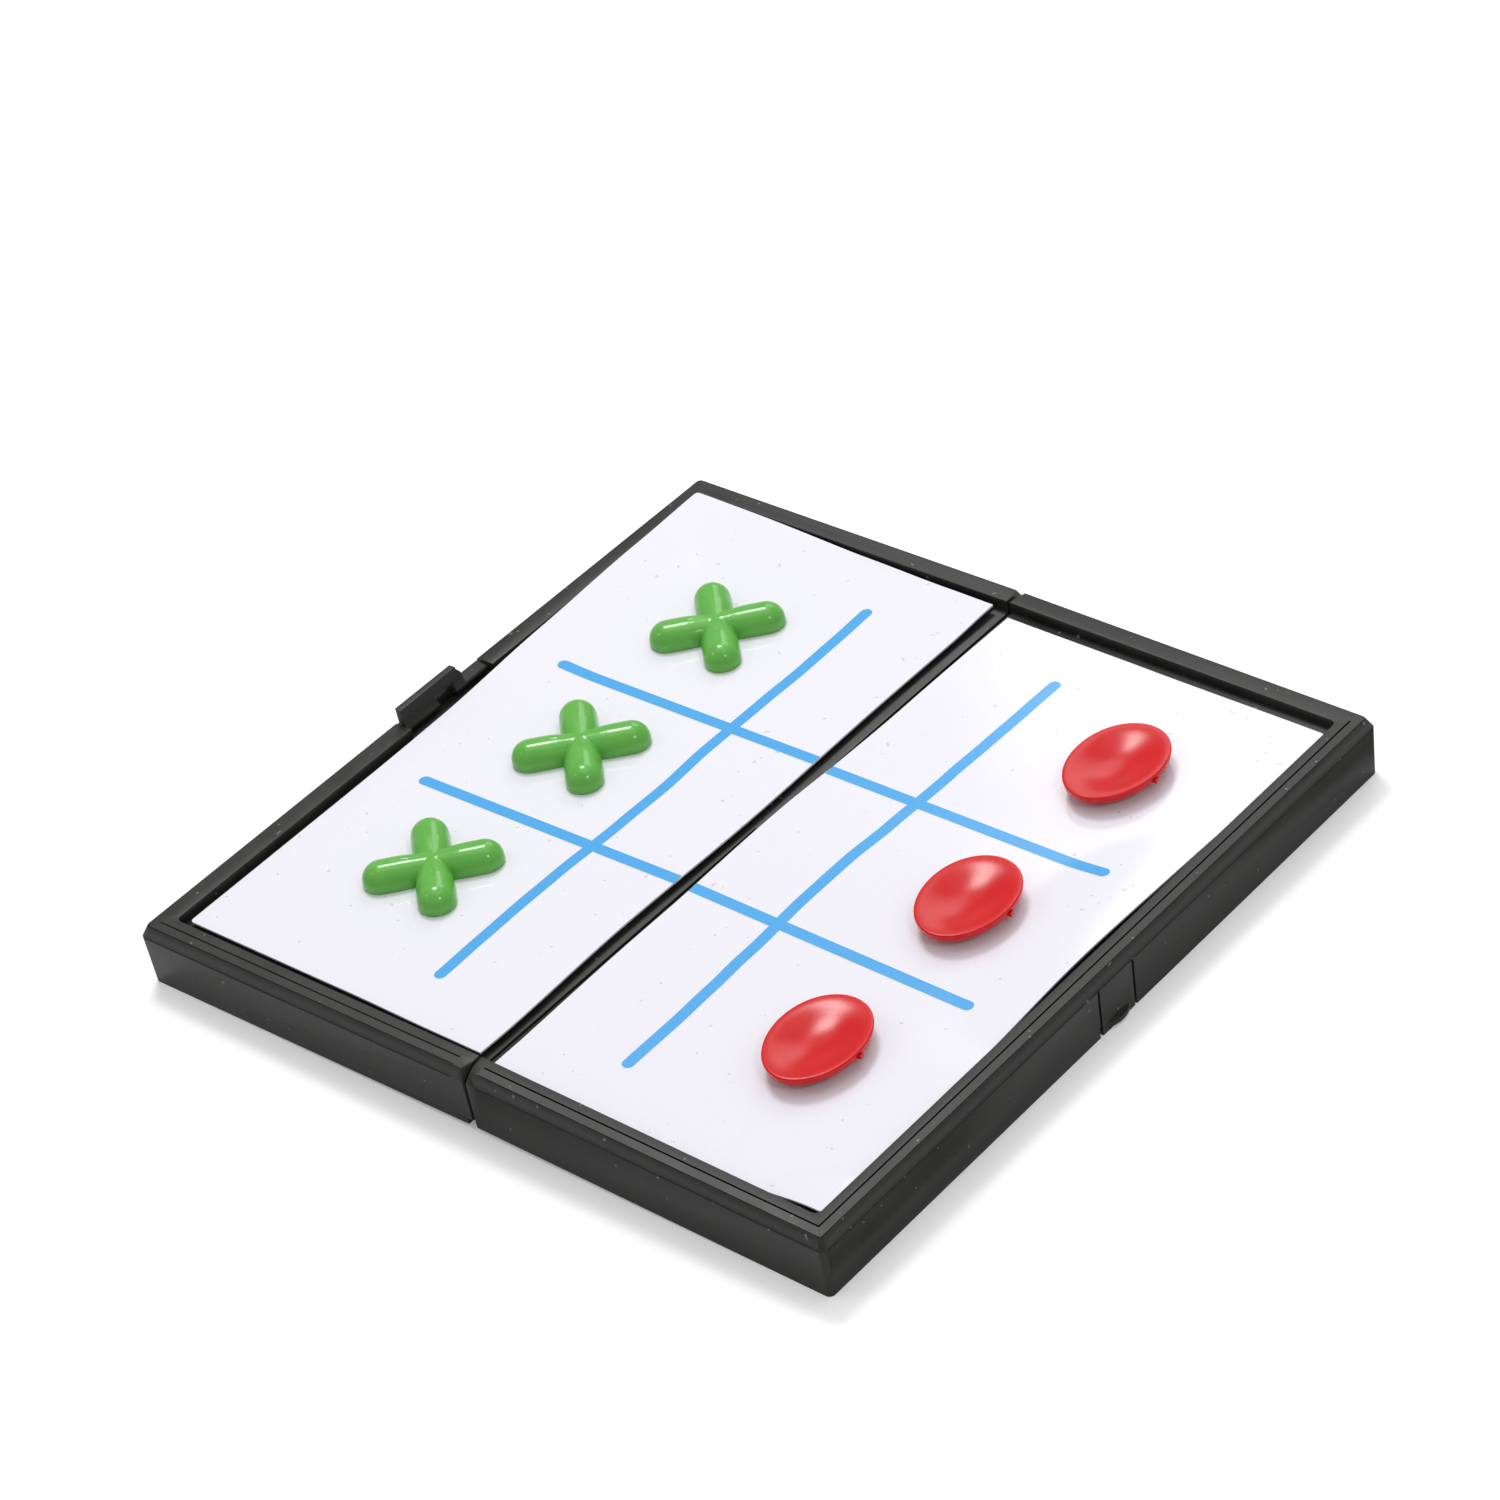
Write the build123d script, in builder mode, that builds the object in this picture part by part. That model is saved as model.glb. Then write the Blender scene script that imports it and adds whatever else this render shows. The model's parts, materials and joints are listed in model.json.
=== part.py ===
from build123d import *
import os
from math import asin, atan2, cos, sin

# A folding magnetic noughts and crosses game, lying open with its play side up.
# X runs across the fold, Y along it and Z up. All sizes are in millimetres.
half_length_x = 65.8          # fold line to the widest line of either tray
half_width_y = 64.9
tray_height = 10.4            # from the edge the trays close on up to the rim
hinge_radius = 0.85           # barrels of the fold, centred on the closing edge
hinge_gap = 0.25
base_inset = 0.25             # the side walls lean in by this much at the bottom
band_bottom = 8.6             # the wall is widest here
band_top = 10.2
band_inset = 1.0
crown_inset = 2.5
corner_radius = 1.0

# Both trays slope down from the fold, since the barrels stand proud of the closing edge.
foot_x = half_length_x - base_inset
tilt = asin(hinge_radius / foot_x)
axis_point = (0, 0, hinge_radius)
left_frame = Plane(axis_point, x_dir=(cos(tilt), 0, sin(tilt)), z_dir=(-sin(tilt), 0, cos(tilt)))
right_frame = Plane(axis_point, x_dir=(cos(tilt), 0, -sin(tilt)), z_dir=(sin(tilt), 0, cos(tilt)))

# Play recess and the hollow under it
recess_outer_x = 61.7
recess_half_y = 60.8
recess_floor = 8.7
recess_corner = 1.0
hollow_ceiling = 7.4
hollow_inner_x = 2.9
hollow_outer_x = 62.9
hollow_half_y = 62.4
hollow_corner = 1.2
hollow_draft = 0.5
left_recess_start = 0.85
right_recess_start = 1.6
groove_start = 1.05           # marks the right tray's barrel strip off from its rim
groove_depth = 0.6
beyond = 80                   # past every edge of the part

# Barrels, ears and pin of the fold
barrel_start = 0.2
barrel_cut_start = -0.15
barrel_end = 61.2
ear_start = 61.4
ear_end = 62.8
ear_room = 62.9
pin_radius = 0.4
pin_running_radius = 0.44
pin_length = 125.2
ear_root = 0.5
parting_far = 0.98            # middle of the gap between the trays, above the barrels
parting_near = 0.18
# Height, inset of the wall, and how far the corner beside the fold is broken in X and in Y
corner_breaks = (
    (0, base_inset, 0.15, 0.4),
    (band_bottom, 0, 0.15, 0.4),
    (band_top, band_inset, 0.6, 1.7),
    (tray_height, crown_inset, 0.7, 2.0),
)

# Swing clasp on the left tray and the tongue it snaps over on the right tray
latch_y = 0.6                 # middle of the clasp, its notch, the tongue and the lip
clasp_axis_x = 65.55
clasp_axis_z = 4.7
clasp_barrel_radius = 1.1
clasp_half_width = 9.1
clasp_base_top = 10.1
tab_near_y = -7.4
tab_far_y = 4.9
tab_top = 12.3
tab_corner = 0.9
tab_chamfer = 0.4
tab_inner_x = 63.5
tab_waist = (63.3, 10.9)      # the inner face curves through this point down to the shelf
notch_half_width = 9.4
notch_floor_x = 63.5
notch_bottom = 3.4
notch_in_rim_x = 61.5
boss_inner_x = 60.6
boss_half_width = 12
boss_bottom = 0.6
peg_radius = 0.6
peg_bore_radius = 0.66
peg_reach = 10.8
lug_end = 11.2
lug_radius = 1.3
window_half_width = 2.0
window_range = (9.9, 11.1)
pocket_half_width = 1.85
plate_inner_x = 63.9
plate_outer_x = 65.1
shelf_tip_x = 62.6
shelf_top = 9.9
shelf_underside = 9.4
tongue_half_width = 4.0
tongue_top = 8.4
slit_width = 0.45
slot_height = 1.9
lip_half_width = 2.7
lip_reach = 0.75
lip_bottom = 0.55
lip_thickness = 0.8
lip_root = 0.2

# Printed steel sheets and their grid lines
sheet_thickness = 0.3
sheet_half_y = 60.2
sheet_outer_x = 61.0
sheet_corner = 1.8
left_sheet_start = 1.1
right_sheet_start = 1.8
print_thickness = 0.05
line_width = 1.9
line_left_x = 18.0
line_right_x = 17.3
line_y = 16.2
line_end_y = 49.9
line_end_x = 52.4

# Playing pieces, with the spot and the turn in degrees of each
cross_length = 21.5
cross_arm_width = 5.9
cross_height = 4.2
cross_arch_radius = 3.0
cross_end_round = 2.0
cross_spots = [(-35.55, 34.0, 0.7), (-34.55, 0.45, 0.1), (-35.1, -32.5, 1.5)]
nought_half_length = 10.1
nought_half_width = 7.05
nought_underside = 1.7
nought_thickness = 1.6
edge_lean = 0.35
stub_y = 0.3
stub_length = 1.0
stub_width = 0.9
stub_bottom = 2.2
stub_height = 0.7
foot_radius = 3.9
foot_bottom = 0.4
dish_rim = 0.5
dish_depth = 0.8
dish_slope = 77
end_arc_share = 0.62
nought_spots = [(40.8, 35.5, -2), (40.65, 0.05, 4), (41.05, -34.8, 4)]
magnet_radius = 2.5
cross_magnet_height = 1.8
nought_magnet_radius = 3.2
nought_magnet_height = 1.5
magnet_fit = 0.02


def outline(frame, side, z, inset):
    """Plan of one tray at a height, rounded at its two outer corners."""
    with BuildSketch(frame.offset(z)) as plan:
        length = half_length_x - inset + hinge_radius
        with Locations((side * (length / 2 - hinge_radius), 0)):
            Rectangle(length, 2 * (half_width_y - inset))
        outer = plan.vertices().sort_by(lambda v: side * v.X)[-2:]
        fillet(outer, corner_radius - inset / 4)
    return plan.sketch


def cut_box(frame, side, x_range, y_range, z_range):
    """Takes a box out of the tray being built; the ranges are in the tray's own frame."""
    x0, x1 = x_range
    y0, y1 = y_range
    with BuildSketch(frame.offset(z_range[0])) as plan:
        with Locations((side * (x0 + x1) / 2, side * (y0 + y1) / 2)):
            Rectangle(x1 - x0, y1 - y0)
    extrude(plan.sketch, amount=z_range[1] - z_range[0], mode=Mode.SUBTRACT)


def add_box(frame, side, x_range, y_range, z_range):
    """Adds a box to the tray being built."""
    x0, x1 = x_range
    y0, y1 = y_range
    with BuildSketch(frame.offset(z_range[0])) as plan:
        with Locations((side * (x0 + x1) / 2, side * (y0 + y1) / 2)):
            Rectangle(x1 - x0, y1 - y0)
    extrude(plan.sketch, amount=z_range[1] - z_range[0])


def rod(frame, x, z, radius, y0, y1, mode=Mode.ADD):
    """A round rod along the fold direction, at x and z in the frame."""
    start = frame.from_local_coords((x, y0, z))
    with BuildSketch(Plane(start, x_dir=frame.x_dir, z_dir=(0, 1, 0))) as plan:
        Circle(radius)
    extrude(plan.sketch, amount=y1 - y0, mode=mode)


def across(side, half):
    """Range across the latch to either side of its middle, in a tray's own frame."""
    return (side * latch_y - half, side * latch_y + half)


def wall_start(side, own_half):
    """Where a tray's wall begins on one half of the fold, in the tray's own frame."""
    parting = parting_far if side * own_half > 0 else parting_near
    return side * parting + hinge_gap / 2


def break_corner(frame, side, own_half):
    """Takes the upright edge off a tray where its end wall meets the fold."""
    slices = []
    x = wall_start(side, own_half)
    for z, inset, depth_x, depth_y in corner_breaks:
        y = half_width_y - inset
        # The triangle stands half its depth past the corner on both sides.
        corners = (
            (x - depth_x / 2, y + depth_y / 2),
            (x + 1.5 * depth_x, y + depth_y / 2),
            (x - depth_x / 2, y - 1.5 * depth_y),
        )
        with BuildSketch(frame.offset(z)) as triangle:
            with BuildLine():
                Polyline(*[(side * cx, side * own_half * cy) for cx, cy in corners], close=True)
            make_face()
        slices.append(triangle.sketch)
    loft(slices, ruled=True, mode=Mode.SUBTRACT)


def tray_body(frame, side, recess_start):
    """Walls, rim, recess, hollow and hinge parts that the two trays share.

    Seen from above either tray is the other one turned half round, so each
    has its long barrel on one half of the fold and a short ear at the far end.
    """
    levels = ((0, base_inset), (band_bottom, 0), (band_top, band_inset), (tray_height, crown_inset))
    loft([outline(frame, side, z, inset) for z, inset in levels], ruled=True)
    # The other tray's barrel stands where this half of the fold is cut back low down.
    hinge_wall = hinge_radius + hinge_gap
    cut_box(frame, side, (-beyond, hinge_wall), (barrel_cut_start, beyond), (-beyond, hinge_wall))
    # Above the barrels the trays part along a line that steps sideways halfway along.
    cut_box(frame, side, (-beyond, wall_start(side, 1)), (barrel_cut_start, beyond), (0, beyond))
    cut_box(frame, side, (-beyond, wall_start(side, -1)), (-beyond, 0), (0, beyond))
    # Play recess with rounded outer corners
    with BuildSketch(frame.offset(recess_floor)) as pocket:
        length = recess_outer_x - recess_start
        with Locations((side * (recess_start + length / 2), 0)):
            Rectangle(length, 2 * recess_half_y)
        fillet(pocket.vertices().sort_by(lambda v: side * v.X)[-2:], recess_corner)
    extrude(pocket.sketch, amount=tray_height, mode=Mode.SUBTRACT)
    # Storage hollow, open at the bottom
    with BuildSketch(frame) as hollow:
        length = hollow_outer_x - hollow_inner_x
        with Locations((side * (hollow_inner_x + length / 2), 0)):
            Rectangle(length, 2 * hollow_half_y)
        fillet(hollow.vertices(), hollow_corner)
    extrude(hollow.sketch, amount=hollow_ceiling, taper=hollow_draft, mode=Mode.SUBTRACT)
    # Long barrel, the ear's pocket beside its end, and the ear at the other end
    barrel_from, barrel_to = sorted((-side * barrel_start, -side * barrel_end))
    rod(frame, 0, 0, hinge_radius, barrel_from, barrel_to)
    cut_box(frame, side, (-beyond, hinge_wall), (-ear_room, -barrel_end), (-beyond, hinge_wall + hinge_gap))
    ear_from, ear_to = sorted((side * ear_start, side * ear_end))
    rod(frame, 0, 0, hinge_radius, ear_from, ear_to)
    add_box(frame, side, (0, hinge_wall + ear_root), (ear_start, ear_end), (0, hinge_radius))
    # Corners beside the fold, broken so that the gap opens at both ends
    break_corner(frame, side, 1)
    break_corner(frame, side, -1)


os.makedirs("parts", exist_ok=True)

# Left tray, with the notch and the lugs of the clasp
with BuildPart() as case_left:
    tray_body(left_frame, -1, left_recess_start)
    # Boss inside the wall, then the notch that the clasp stands in
    boss_range = across(-1, boss_half_width)
    add_box(left_frame, -1, (boss_inner_x, notch_floor_x), boss_range, (boss_bottom, recess_floor))
    for y_sign in (-1, 1):
        mid = latch_y + y_sign * (notch_half_width + lug_end) / 2
        half = (lug_end - notch_half_width) / 2
        rod(left_frame, -clasp_axis_x, clasp_axis_z, lug_radius, mid - half, mid + half)
    notch_range = across(-1, notch_half_width)
    cut_box(left_frame, -1, (notch_floor_x, beyond), notch_range, (notch_bottom, beyond))
    cut_box(left_frame, -1, (notch_in_rim_x, beyond), notch_range, (recess_floor, beyond))
    lug_range = (latch_y - lug_end, latch_y + lug_end)
    rod(left_frame, -clasp_axis_x, clasp_axis_z, peg_bore_radius, *lug_range, Mode.SUBTRACT)
    rod(left_frame, 0, 0, pin_radius, -beyond, beyond, Mode.SUBTRACT)
case_left.part.label = "case_left"
export_step(case_left.part, "parts/case_left.step")

# Right tray, with the tongue that carries the clasp's lip
with BuildPart() as case_right:
    tray_body(right_frame, 1, right_recess_start)
    groove_range = (groove_start, groove_start + hinge_gap)
    cut_box(right_frame, 1, groove_range, (-recess_half_y, 0), (tray_height - groove_depth, beyond))
    for y_sign in (-1, 1):
        y = latch_y + y_sign * tongue_half_width
        slit = (y - slit_width / 2, y + slit_width / 2)
        cut_box(right_frame, 1, (recess_outer_x, beyond), slit, (-beyond, tongue_top))
    slot = (latch_y - tongue_half_width - slit_width, latch_y - tongue_half_width)
    cut_box(right_frame, 1, (recess_outer_x, beyond), slot, (-beyond, slot_height))
    lip_top = foot_x + lip_reach
    bow = (lip_half_width**2 + lip_reach**2) / (2 * lip_reach)
    with BuildSketch(right_frame.offset(lip_bottom)) as lip:
        with Locations((lip_top - bow, latch_y)):
            Circle(bow)
        with Locations((foot_x - lip_root + bow, latch_y)):
            Rectangle(2 * bow, 2 * bow, mode=Mode.INTERSECT)
    extrude(lip.sketch, amount=lip_thickness)
    rod(right_frame, 0, 0, pin_running_radius, -beyond, beyond, Mode.SUBTRACT)
case_right.part.label = "case_right"
export_step(case_right.part, "parts/case_right.step")

# Steel wire that the two trays turn on
with BuildPart() as hinge_pin:
    rod(left_frame, 0, 0, pin_radius, -pin_length / 2, pin_length / 2)
hinge_pin.part.label = "hinge_pin"
export_step(hinge_pin.part, "parts/hinge_pin.step")

# Clasp, swung up out of the way as it is while the game is open
clasp_start = left_frame.from_local_coords((0, latch_y - clasp_half_width, 0))
with BuildPart() as clasp:
    with BuildSketch(Plane(clasp_start, x_dir=-left_frame.x_dir, z_dir=(0, 1, 0))) as clasp_section:
        with BuildLine():
            Polyline(
                (shelf_tip_x, shelf_top), (shelf_tip_x, shelf_underside), (plate_inner_x, shelf_underside),
                (plate_inner_x, clasp_axis_z), (plate_outer_x, clasp_axis_z),
                (plate_outer_x, tab_top - tab_chamfer), (plate_outer_x - tab_chamfer, tab_top),
                (tab_inner_x, tab_top),
            )
            ThreePointArc((tab_inner_x, tab_top), tab_waist, (shelf_tip_x, shelf_top))
        make_face()
        with Locations((clasp_axis_x, clasp_axis_z)):
            Circle(clasp_barrel_radius)
    extrude(clasp_section.sketch, amount=2 * clasp_half_width)
    # The tab is narrower than the base and rounded at its two outer upright edges.
    with BuildSketch(left_frame.offset(clasp_base_top)) as around_tab:
        Rectangle(2 * beyond, 2 * beyond)
        with Locations((-(notch_in_rim_x + plate_outer_x) / 2, (tab_near_y + tab_far_y) / 2)):
            Rectangle(plate_outer_x - notch_in_rim_x, tab_far_y - tab_near_y, mode=Mode.SUBTRACT)
        fillet(around_tab.vertices().sort_by(Axis.X)[2:4], tab_corner)
    extrude(around_tab.sketch, amount=tab_top, mode=Mode.SUBTRACT)
    # The lip snaps into the window, and the shelf is open below it.
    window = across(-1, window_half_width)
    cut_box(left_frame, -1, (notch_in_rim_x, beyond), window, window_range)
    pocket = across(-1, pocket_half_width)
    cut_box(left_frame, -1, (notch_in_rim_x, plate_inner_x), pocket, (recess_floor, window_range[0]))
    rod(left_frame, -clasp_axis_x, clasp_axis_z, peg_radius, latch_y - peg_reach, latch_y + peg_reach)
clasp.part.label = "clasp"
export_step(clasp.part, "parts/clasp.step")


def sheet_plan(frame, x0, x1):
    """Outline of a play sheet, rounded at its outer corners only."""
    with BuildSketch(frame.offset(recess_floor)) as plan:
        with Locations(((x0 + x1) / 2, 0)):
            Rectangle(x1 - x0, 2 * sheet_half_y)
        outer = plan.vertices().sort_by(lambda v: abs(v.X))[-2:]
        fillet(outer, sheet_corner)
    return plan.sketch


def grid_plan(frame, line_x, x0, x1):
    """One line along the fold and two across it, the latter cut off at the fold."""
    with BuildSketch(frame.offset(recess_floor + sheet_thickness)) as plan:
        with Locations((line_x, 0)):
            SlotOverall(2 * line_end_y, line_width, rotation=90)
        reach = 2 * line_end_x
        for y in (-line_y, line_y):
            with Locations((0, y)):
                SlotOverall(reach, line_width)
        with Locations(((x0 + x1) / 2, 0)):
            Rectangle(abs(x1 - x0), 2 * half_width_y, mode=Mode.INTERSECT)
    return plan.sketch


# Printed steel sheets that the magnets hold to
with BuildPart() as play_sheet_left:
    extrude(sheet_plan(left_frame, -sheet_outer_x, -left_sheet_start), amount=sheet_thickness)
play_sheet_left.part.label = "play_sheet_left"
export_step(play_sheet_left.part, "parts/play_sheet_left.step")

with BuildPart() as play_sheet_right:
    extrude(sheet_plan(right_frame, right_sheet_start, sheet_outer_x), amount=sheet_thickness)
play_sheet_right.part.label = "play_sheet_right"
export_step(play_sheet_right.part, "parts/play_sheet_right.step")

# Grid lines, a thin film of ink on the sheets
with BuildPart() as grid_print_left:
    extrude(grid_plan(left_frame, -line_left_x, -sheet_outer_x, -left_sheet_start - 0.1), amount=print_thickness)
grid_print_left.part.label = "grid_print_left"
export_step(grid_print_left.part, "parts/grid_print_left.step")

with BuildPart() as grid_print_right:
    extrude(grid_plan(right_frame, line_right_x, right_sheet_start + 0.1, sheet_outer_x), amount=print_thickness)
grid_print_right.part.label = "grid_print_right"
export_step(grid_print_right.part, "parts/grid_print_right.step")

def dish_plan(plane):
    """Oval of four arcs for the hollow in the top of a nought."""
    half_width = nought_half_width - dish_rim
    half_length = nought_half_length - dish_rim
    end_radius = end_arc_share * half_width
    rise = half_length - end_radius
    flank = half_width - end_radius
    shift = (rise**2 - flank**2) / (2 * flank)
    turn = atan2(rise, shift)
    x = (half_width + shift) * cos(turn) - shift
    y = (half_width + shift) * sin(turn)
    with BuildSketch(plane) as plan:
        with BuildLine():
            ThreePointArc((x, y), (0, half_length), (-x, y))
            ThreePointArc((-x, y), (-half_width, 0), (-x, -y))
            ThreePointArc((-x, -y), (0, -half_length), (x, -y))
            ThreePointArc((x, -y), (half_width, 0), (x, y))
        make_face()
    return plan.sketch


# One arm of a cross, from tip to tip: round along its top and at its two ends
with BuildPart() as cross_arm:
    with BuildSketch():
        SlotOverall(cross_length, cross_arm_width)
    extrude(amount=cross_height)
    shoulder = cross_height - cross_arch_radius
    with BuildSketch(Plane.YZ.offset(-cross_length)):
        with Locations((0, shoulder)):
            Circle(cross_arch_radius)
        Rectangle(2 * cross_arch_radius, shoulder, align=(Align.CENTER, Align.MIN))
    extrude(amount=2 * cross_length, mode=Mode.INTERSECT)
    with BuildSketch(Plane.XZ.offset(-cross_arm_width)) as side_view:
        Rectangle(cross_length, cross_height, align=(Align.CENTER, Align.MIN))
        fillet(side_view.vertices().sort_by(Axis.Z)[-2:], cross_end_round)
    extrude(amount=2 * cross_arm_width, mode=Mode.INTERSECT)

names = ("far", "middle", "near")
board_top = recess_floor + sheet_thickness

# Three crosses on the left tray, each with a disc magnet let into its underside
for name, (x, y, turn) in zip(names, cross_spots):
    spot = left_frame.offset(board_top) * Location((x, y, 0), (0, 0, turn))
    with BuildPart() as cross:
        for angle in (45, 135):
            with Locations(spot * Location((0, 0, 0), (0, 0, angle))):
                add(cross_arm.part)
        with Locations(spot):
            Cylinder(magnet_radius + magnet_fit, cross_magnet_height,
                     align=(Align.CENTER, Align.CENTER, Align.MIN), mode=Mode.SUBTRACT)
    cross.part.label = f"cross_{name}"
    export_step(cross.part, f"parts/cross_{name}.step")
    with BuildPart() as magnet:
        with Locations(spot):
            Cylinder(magnet_radius, cross_magnet_height, align=(Align.CENTER, Align.CENTER, Align.MIN))
    magnet.part.label = f"cross_magnet_{name}"
    export_step(magnet.part, f"parts/cross_magnet_{name}.step")

# Three noughts on the right tray: oval dishes that stand on a foot with a disc magnet
rim_top = nought_underside + nought_thickness
for name, (x, y, turn) in zip(names, nought_spots):
    spot = right_frame.offset(board_top) * Location((x, y, 0), (0, 0, turn))
    base = Plane(spot)
    with BuildPart() as nought:
        with BuildSketch(base.offset(nought_underside)):
            Ellipse(nought_half_width - edge_lean, nought_half_length - edge_lean)
        with BuildSketch(base.offset(rim_top)):
            Ellipse(nought_half_width, nought_half_length)
        loft(ruled=True)
        extrude(dish_plan(base.offset(rim_top)), amount=-dish_depth, taper=dish_slope, mode=Mode.SUBTRACT)
        with BuildSketch(base.offset(foot_bottom)):
            Circle(foot_radius)
            Circle(nought_magnet_radius + magnet_fit, mode=Mode.SUBTRACT)
        extrude(amount=nought_magnet_height - foot_bottom)
        with BuildSketch(base.offset(nought_magnet_height)):
            Circle(foot_radius)
        extrude(amount=nought_underside - nought_magnet_height)
        # Stub left where the moulding was broken off its runner
        with BuildSketch(base.offset(stub_bottom)):
            with Locations((nought_half_width - stub_length / 4, stub_y)):
                Rectangle(stub_length, stub_width)
        extrude(amount=stub_height)
    nought.part.label = f"nought_{name}"
    export_step(nought.part, f"parts/nought_{name}.step")
    with BuildPart() as magnet:
        with Locations(spot):
            Cylinder(nought_magnet_radius, nought_magnet_height,
                     align=(Align.CENTER, Align.CENTER, Align.MIN))
    magnet.part.label = f"nought_magnet_{name}"
    export_step(magnet.part, f"parts/nought_magnet_{name}.step")
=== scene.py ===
import bmesh
import bpy
import json
import math
from math import cos, pi, sin
from mathutils import Matrix, Vector


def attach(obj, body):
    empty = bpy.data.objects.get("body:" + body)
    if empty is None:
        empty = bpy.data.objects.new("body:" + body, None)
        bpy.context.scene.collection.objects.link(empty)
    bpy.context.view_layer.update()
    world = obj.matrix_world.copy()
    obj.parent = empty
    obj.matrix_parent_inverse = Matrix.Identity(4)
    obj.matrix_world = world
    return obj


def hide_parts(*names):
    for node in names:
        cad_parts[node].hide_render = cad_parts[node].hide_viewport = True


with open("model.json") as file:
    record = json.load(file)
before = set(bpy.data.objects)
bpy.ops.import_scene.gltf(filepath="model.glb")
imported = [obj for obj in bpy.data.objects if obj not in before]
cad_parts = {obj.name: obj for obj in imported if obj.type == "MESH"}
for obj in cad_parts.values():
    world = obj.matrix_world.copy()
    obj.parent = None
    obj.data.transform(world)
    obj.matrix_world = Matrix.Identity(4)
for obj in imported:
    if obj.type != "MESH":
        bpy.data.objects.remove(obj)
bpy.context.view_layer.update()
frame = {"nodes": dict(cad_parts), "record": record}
mm = 0.001


def linear(hexColour):
    # sRGB hex to the linear values that Blender's sockets take
    parts = [int(hexColour[i:i + 2], 16) / 255 for i in (1, 3, 5)]
    return [p / 12.92 if p <= 0.04045 else ((p + 0.055) / 1.055) ** 2.4 for p in parts] + [1.0]


def addNode(tree, kind, settings=None, **links):
    # one node with its settings; a link is either a value or an output socket, by input name
    node = tree.nodes.new(kind)
    for key, value in (settings or {}).items():
        setattr(node, key, value)
    for key, value in links.items():
        name = key.replace("_", " ")
        socket = node.inputs[int(name[1:])] if name[0] == "i" and name[1:].isdigit() else node.inputs[name]
        if isinstance(value, bpy.types.NodeSocket):
            tree.links.new(value, socket)
        else:
            socket.default_value = value
    return node


# Frames of the two halves. Sizes are in mm, and side is -1 for the left half and 1 for the right one.
fold = {"halfLength": 65.8, "halfWidth": 64.9, "baseInset": 0.25, "barrelRadius": 0.85}
tilt = math.asin(fold["barrelRadius"] / (fold["halfLength"] - fold["baseInset"]))


def trayMatrix(side):
    # tray's own frame to the game's frame: each half slopes down a little from the fold
    xAxis = Vector((cos(tilt), 0, -side * sin(tilt)))
    zAxis = Vector((side * sin(tilt), 0, cos(tilt)))
    m = Matrix((xAxis, Vector((0, 1, 0)), zAxis)).transposed().to_4x4()
    return Matrix.Translation((0, 0, fold["barrelRadius"] * mm)) @ m


# Materials
def newMaterial(name):
    material = bpy.data.materials.new(name)
    material.use_nodes = True
    tree = material.node_tree
    shader = tree.nodes["Principled BSDF"]
    coords = addNode(tree, "ShaderNodeTexCoord").outputs["Object"]
    return material, tree, shader, coords


def noise(tree, coords, sizeMm, detail):
    node = addNode(tree, "ShaderNodeTexNoise", Vector=coords, Scale=1 / (sizeMm * mm), Detail=detail)
    return node.outputs["Fac"]


def twoTone(tree, value, tones, start=0.0, end=1.0):
    # runs from one colour to the other while the value goes from start to end
    node = addNode(tree, "ShaderNodeValToRGB", Fac=value)
    for i, place in enumerate((start, end)):
        node.color_ramp.elements[i].position = place
        node.color_ramp.elements[i].color = linear(tones[i])
    return node.outputs["Color"]


def bumped(tree, height, strength, depthMm, under=None):
    # normal from a height pattern, which may lie over another one
    links = {} if under is None else {"Normal": under}
    bump = addNode(tree, "ShaderNodeBump", Height=height, Strength=strength, Distance=depthMm * mm, **links)
    return bump.outputs["Normal"]


def dusted(tree, coords, colour, dust):
    # a few specks of dust, drawn where a soft noise is at its highest
    low, high = dust["noise"]
    speck = addNode(tree, "ShaderNodeMapRange", Value=noise(tree, coords, dust["sizeMm"], 0.0),
                    From_Min=low, From_Max=high, To_Max=dust["share"])
    mix = addNode(tree, "ShaderNodeMix", {"data_type": "RGBA"}, i0=speck.outputs["Result"], i6=colour,
                  i7=linear(dust["tone"]))
    return mix.outputs[2]


blackPlastic = {"tones": ("#1F1F1D", "#282826"), "mottleMm": 9.0, "grainMm": 0.22, "grainBump": (0.25, 0.02),
                "roughness": (0.38, 0.48), "ior": 1.4,
                "dust": {"tone": "#A8A49C", "sizeMm": 0.9, "noise": (0.825, 0.84), "share": 0.35}}


def mouldedBlackPlastic():
    # black polystyrene from a lightly textured mould; its grain is drawn coarser than it is, so that it shows
    material, tree, shader, coords = newMaterial("mouldedBlackPolystyrene")
    p = blackPlastic
    mottle = noise(tree, coords, p["mottleMm"], 3.0)
    colour = twoTone(tree, mottle, p["tones"], 0.35, 0.7)
    tree.links.new(dusted(tree, coords, colour, p["dust"]), shader.inputs["Base Color"])
    rough = addNode(tree, "ShaderNodeMapRange", Value=mottle, From_Min=0.3, From_Max=0.7,
                    To_Min=p["roughness"][0], To_Max=p["roughness"][1])
    tree.links.new(rough.outputs["Result"], shader.inputs["Roughness"])
    grain = noise(tree, coords, p["grainMm"], 2.0)
    tree.links.new(bumped(tree, grain, *p["grainBump"]), shader.inputs["Normal"])
    shader.inputs["IOR"].default_value = p["ior"]
    return material


whiteEnamel = {"tones": ("#E6E5EE", "#ECEBF2"), "speckMm": 0.35, "speckBump": (0.15, 0.01),
               "waveMm": 18.0, "waveBump": (0.3, 0.15), "roughness": 0.14, "ior": 1.5,
               "dust": {"tone": "#B9B2AC", "sizeMm": 1.1, "noise": (0.825, 0.84), "share": 0.5}}


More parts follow.
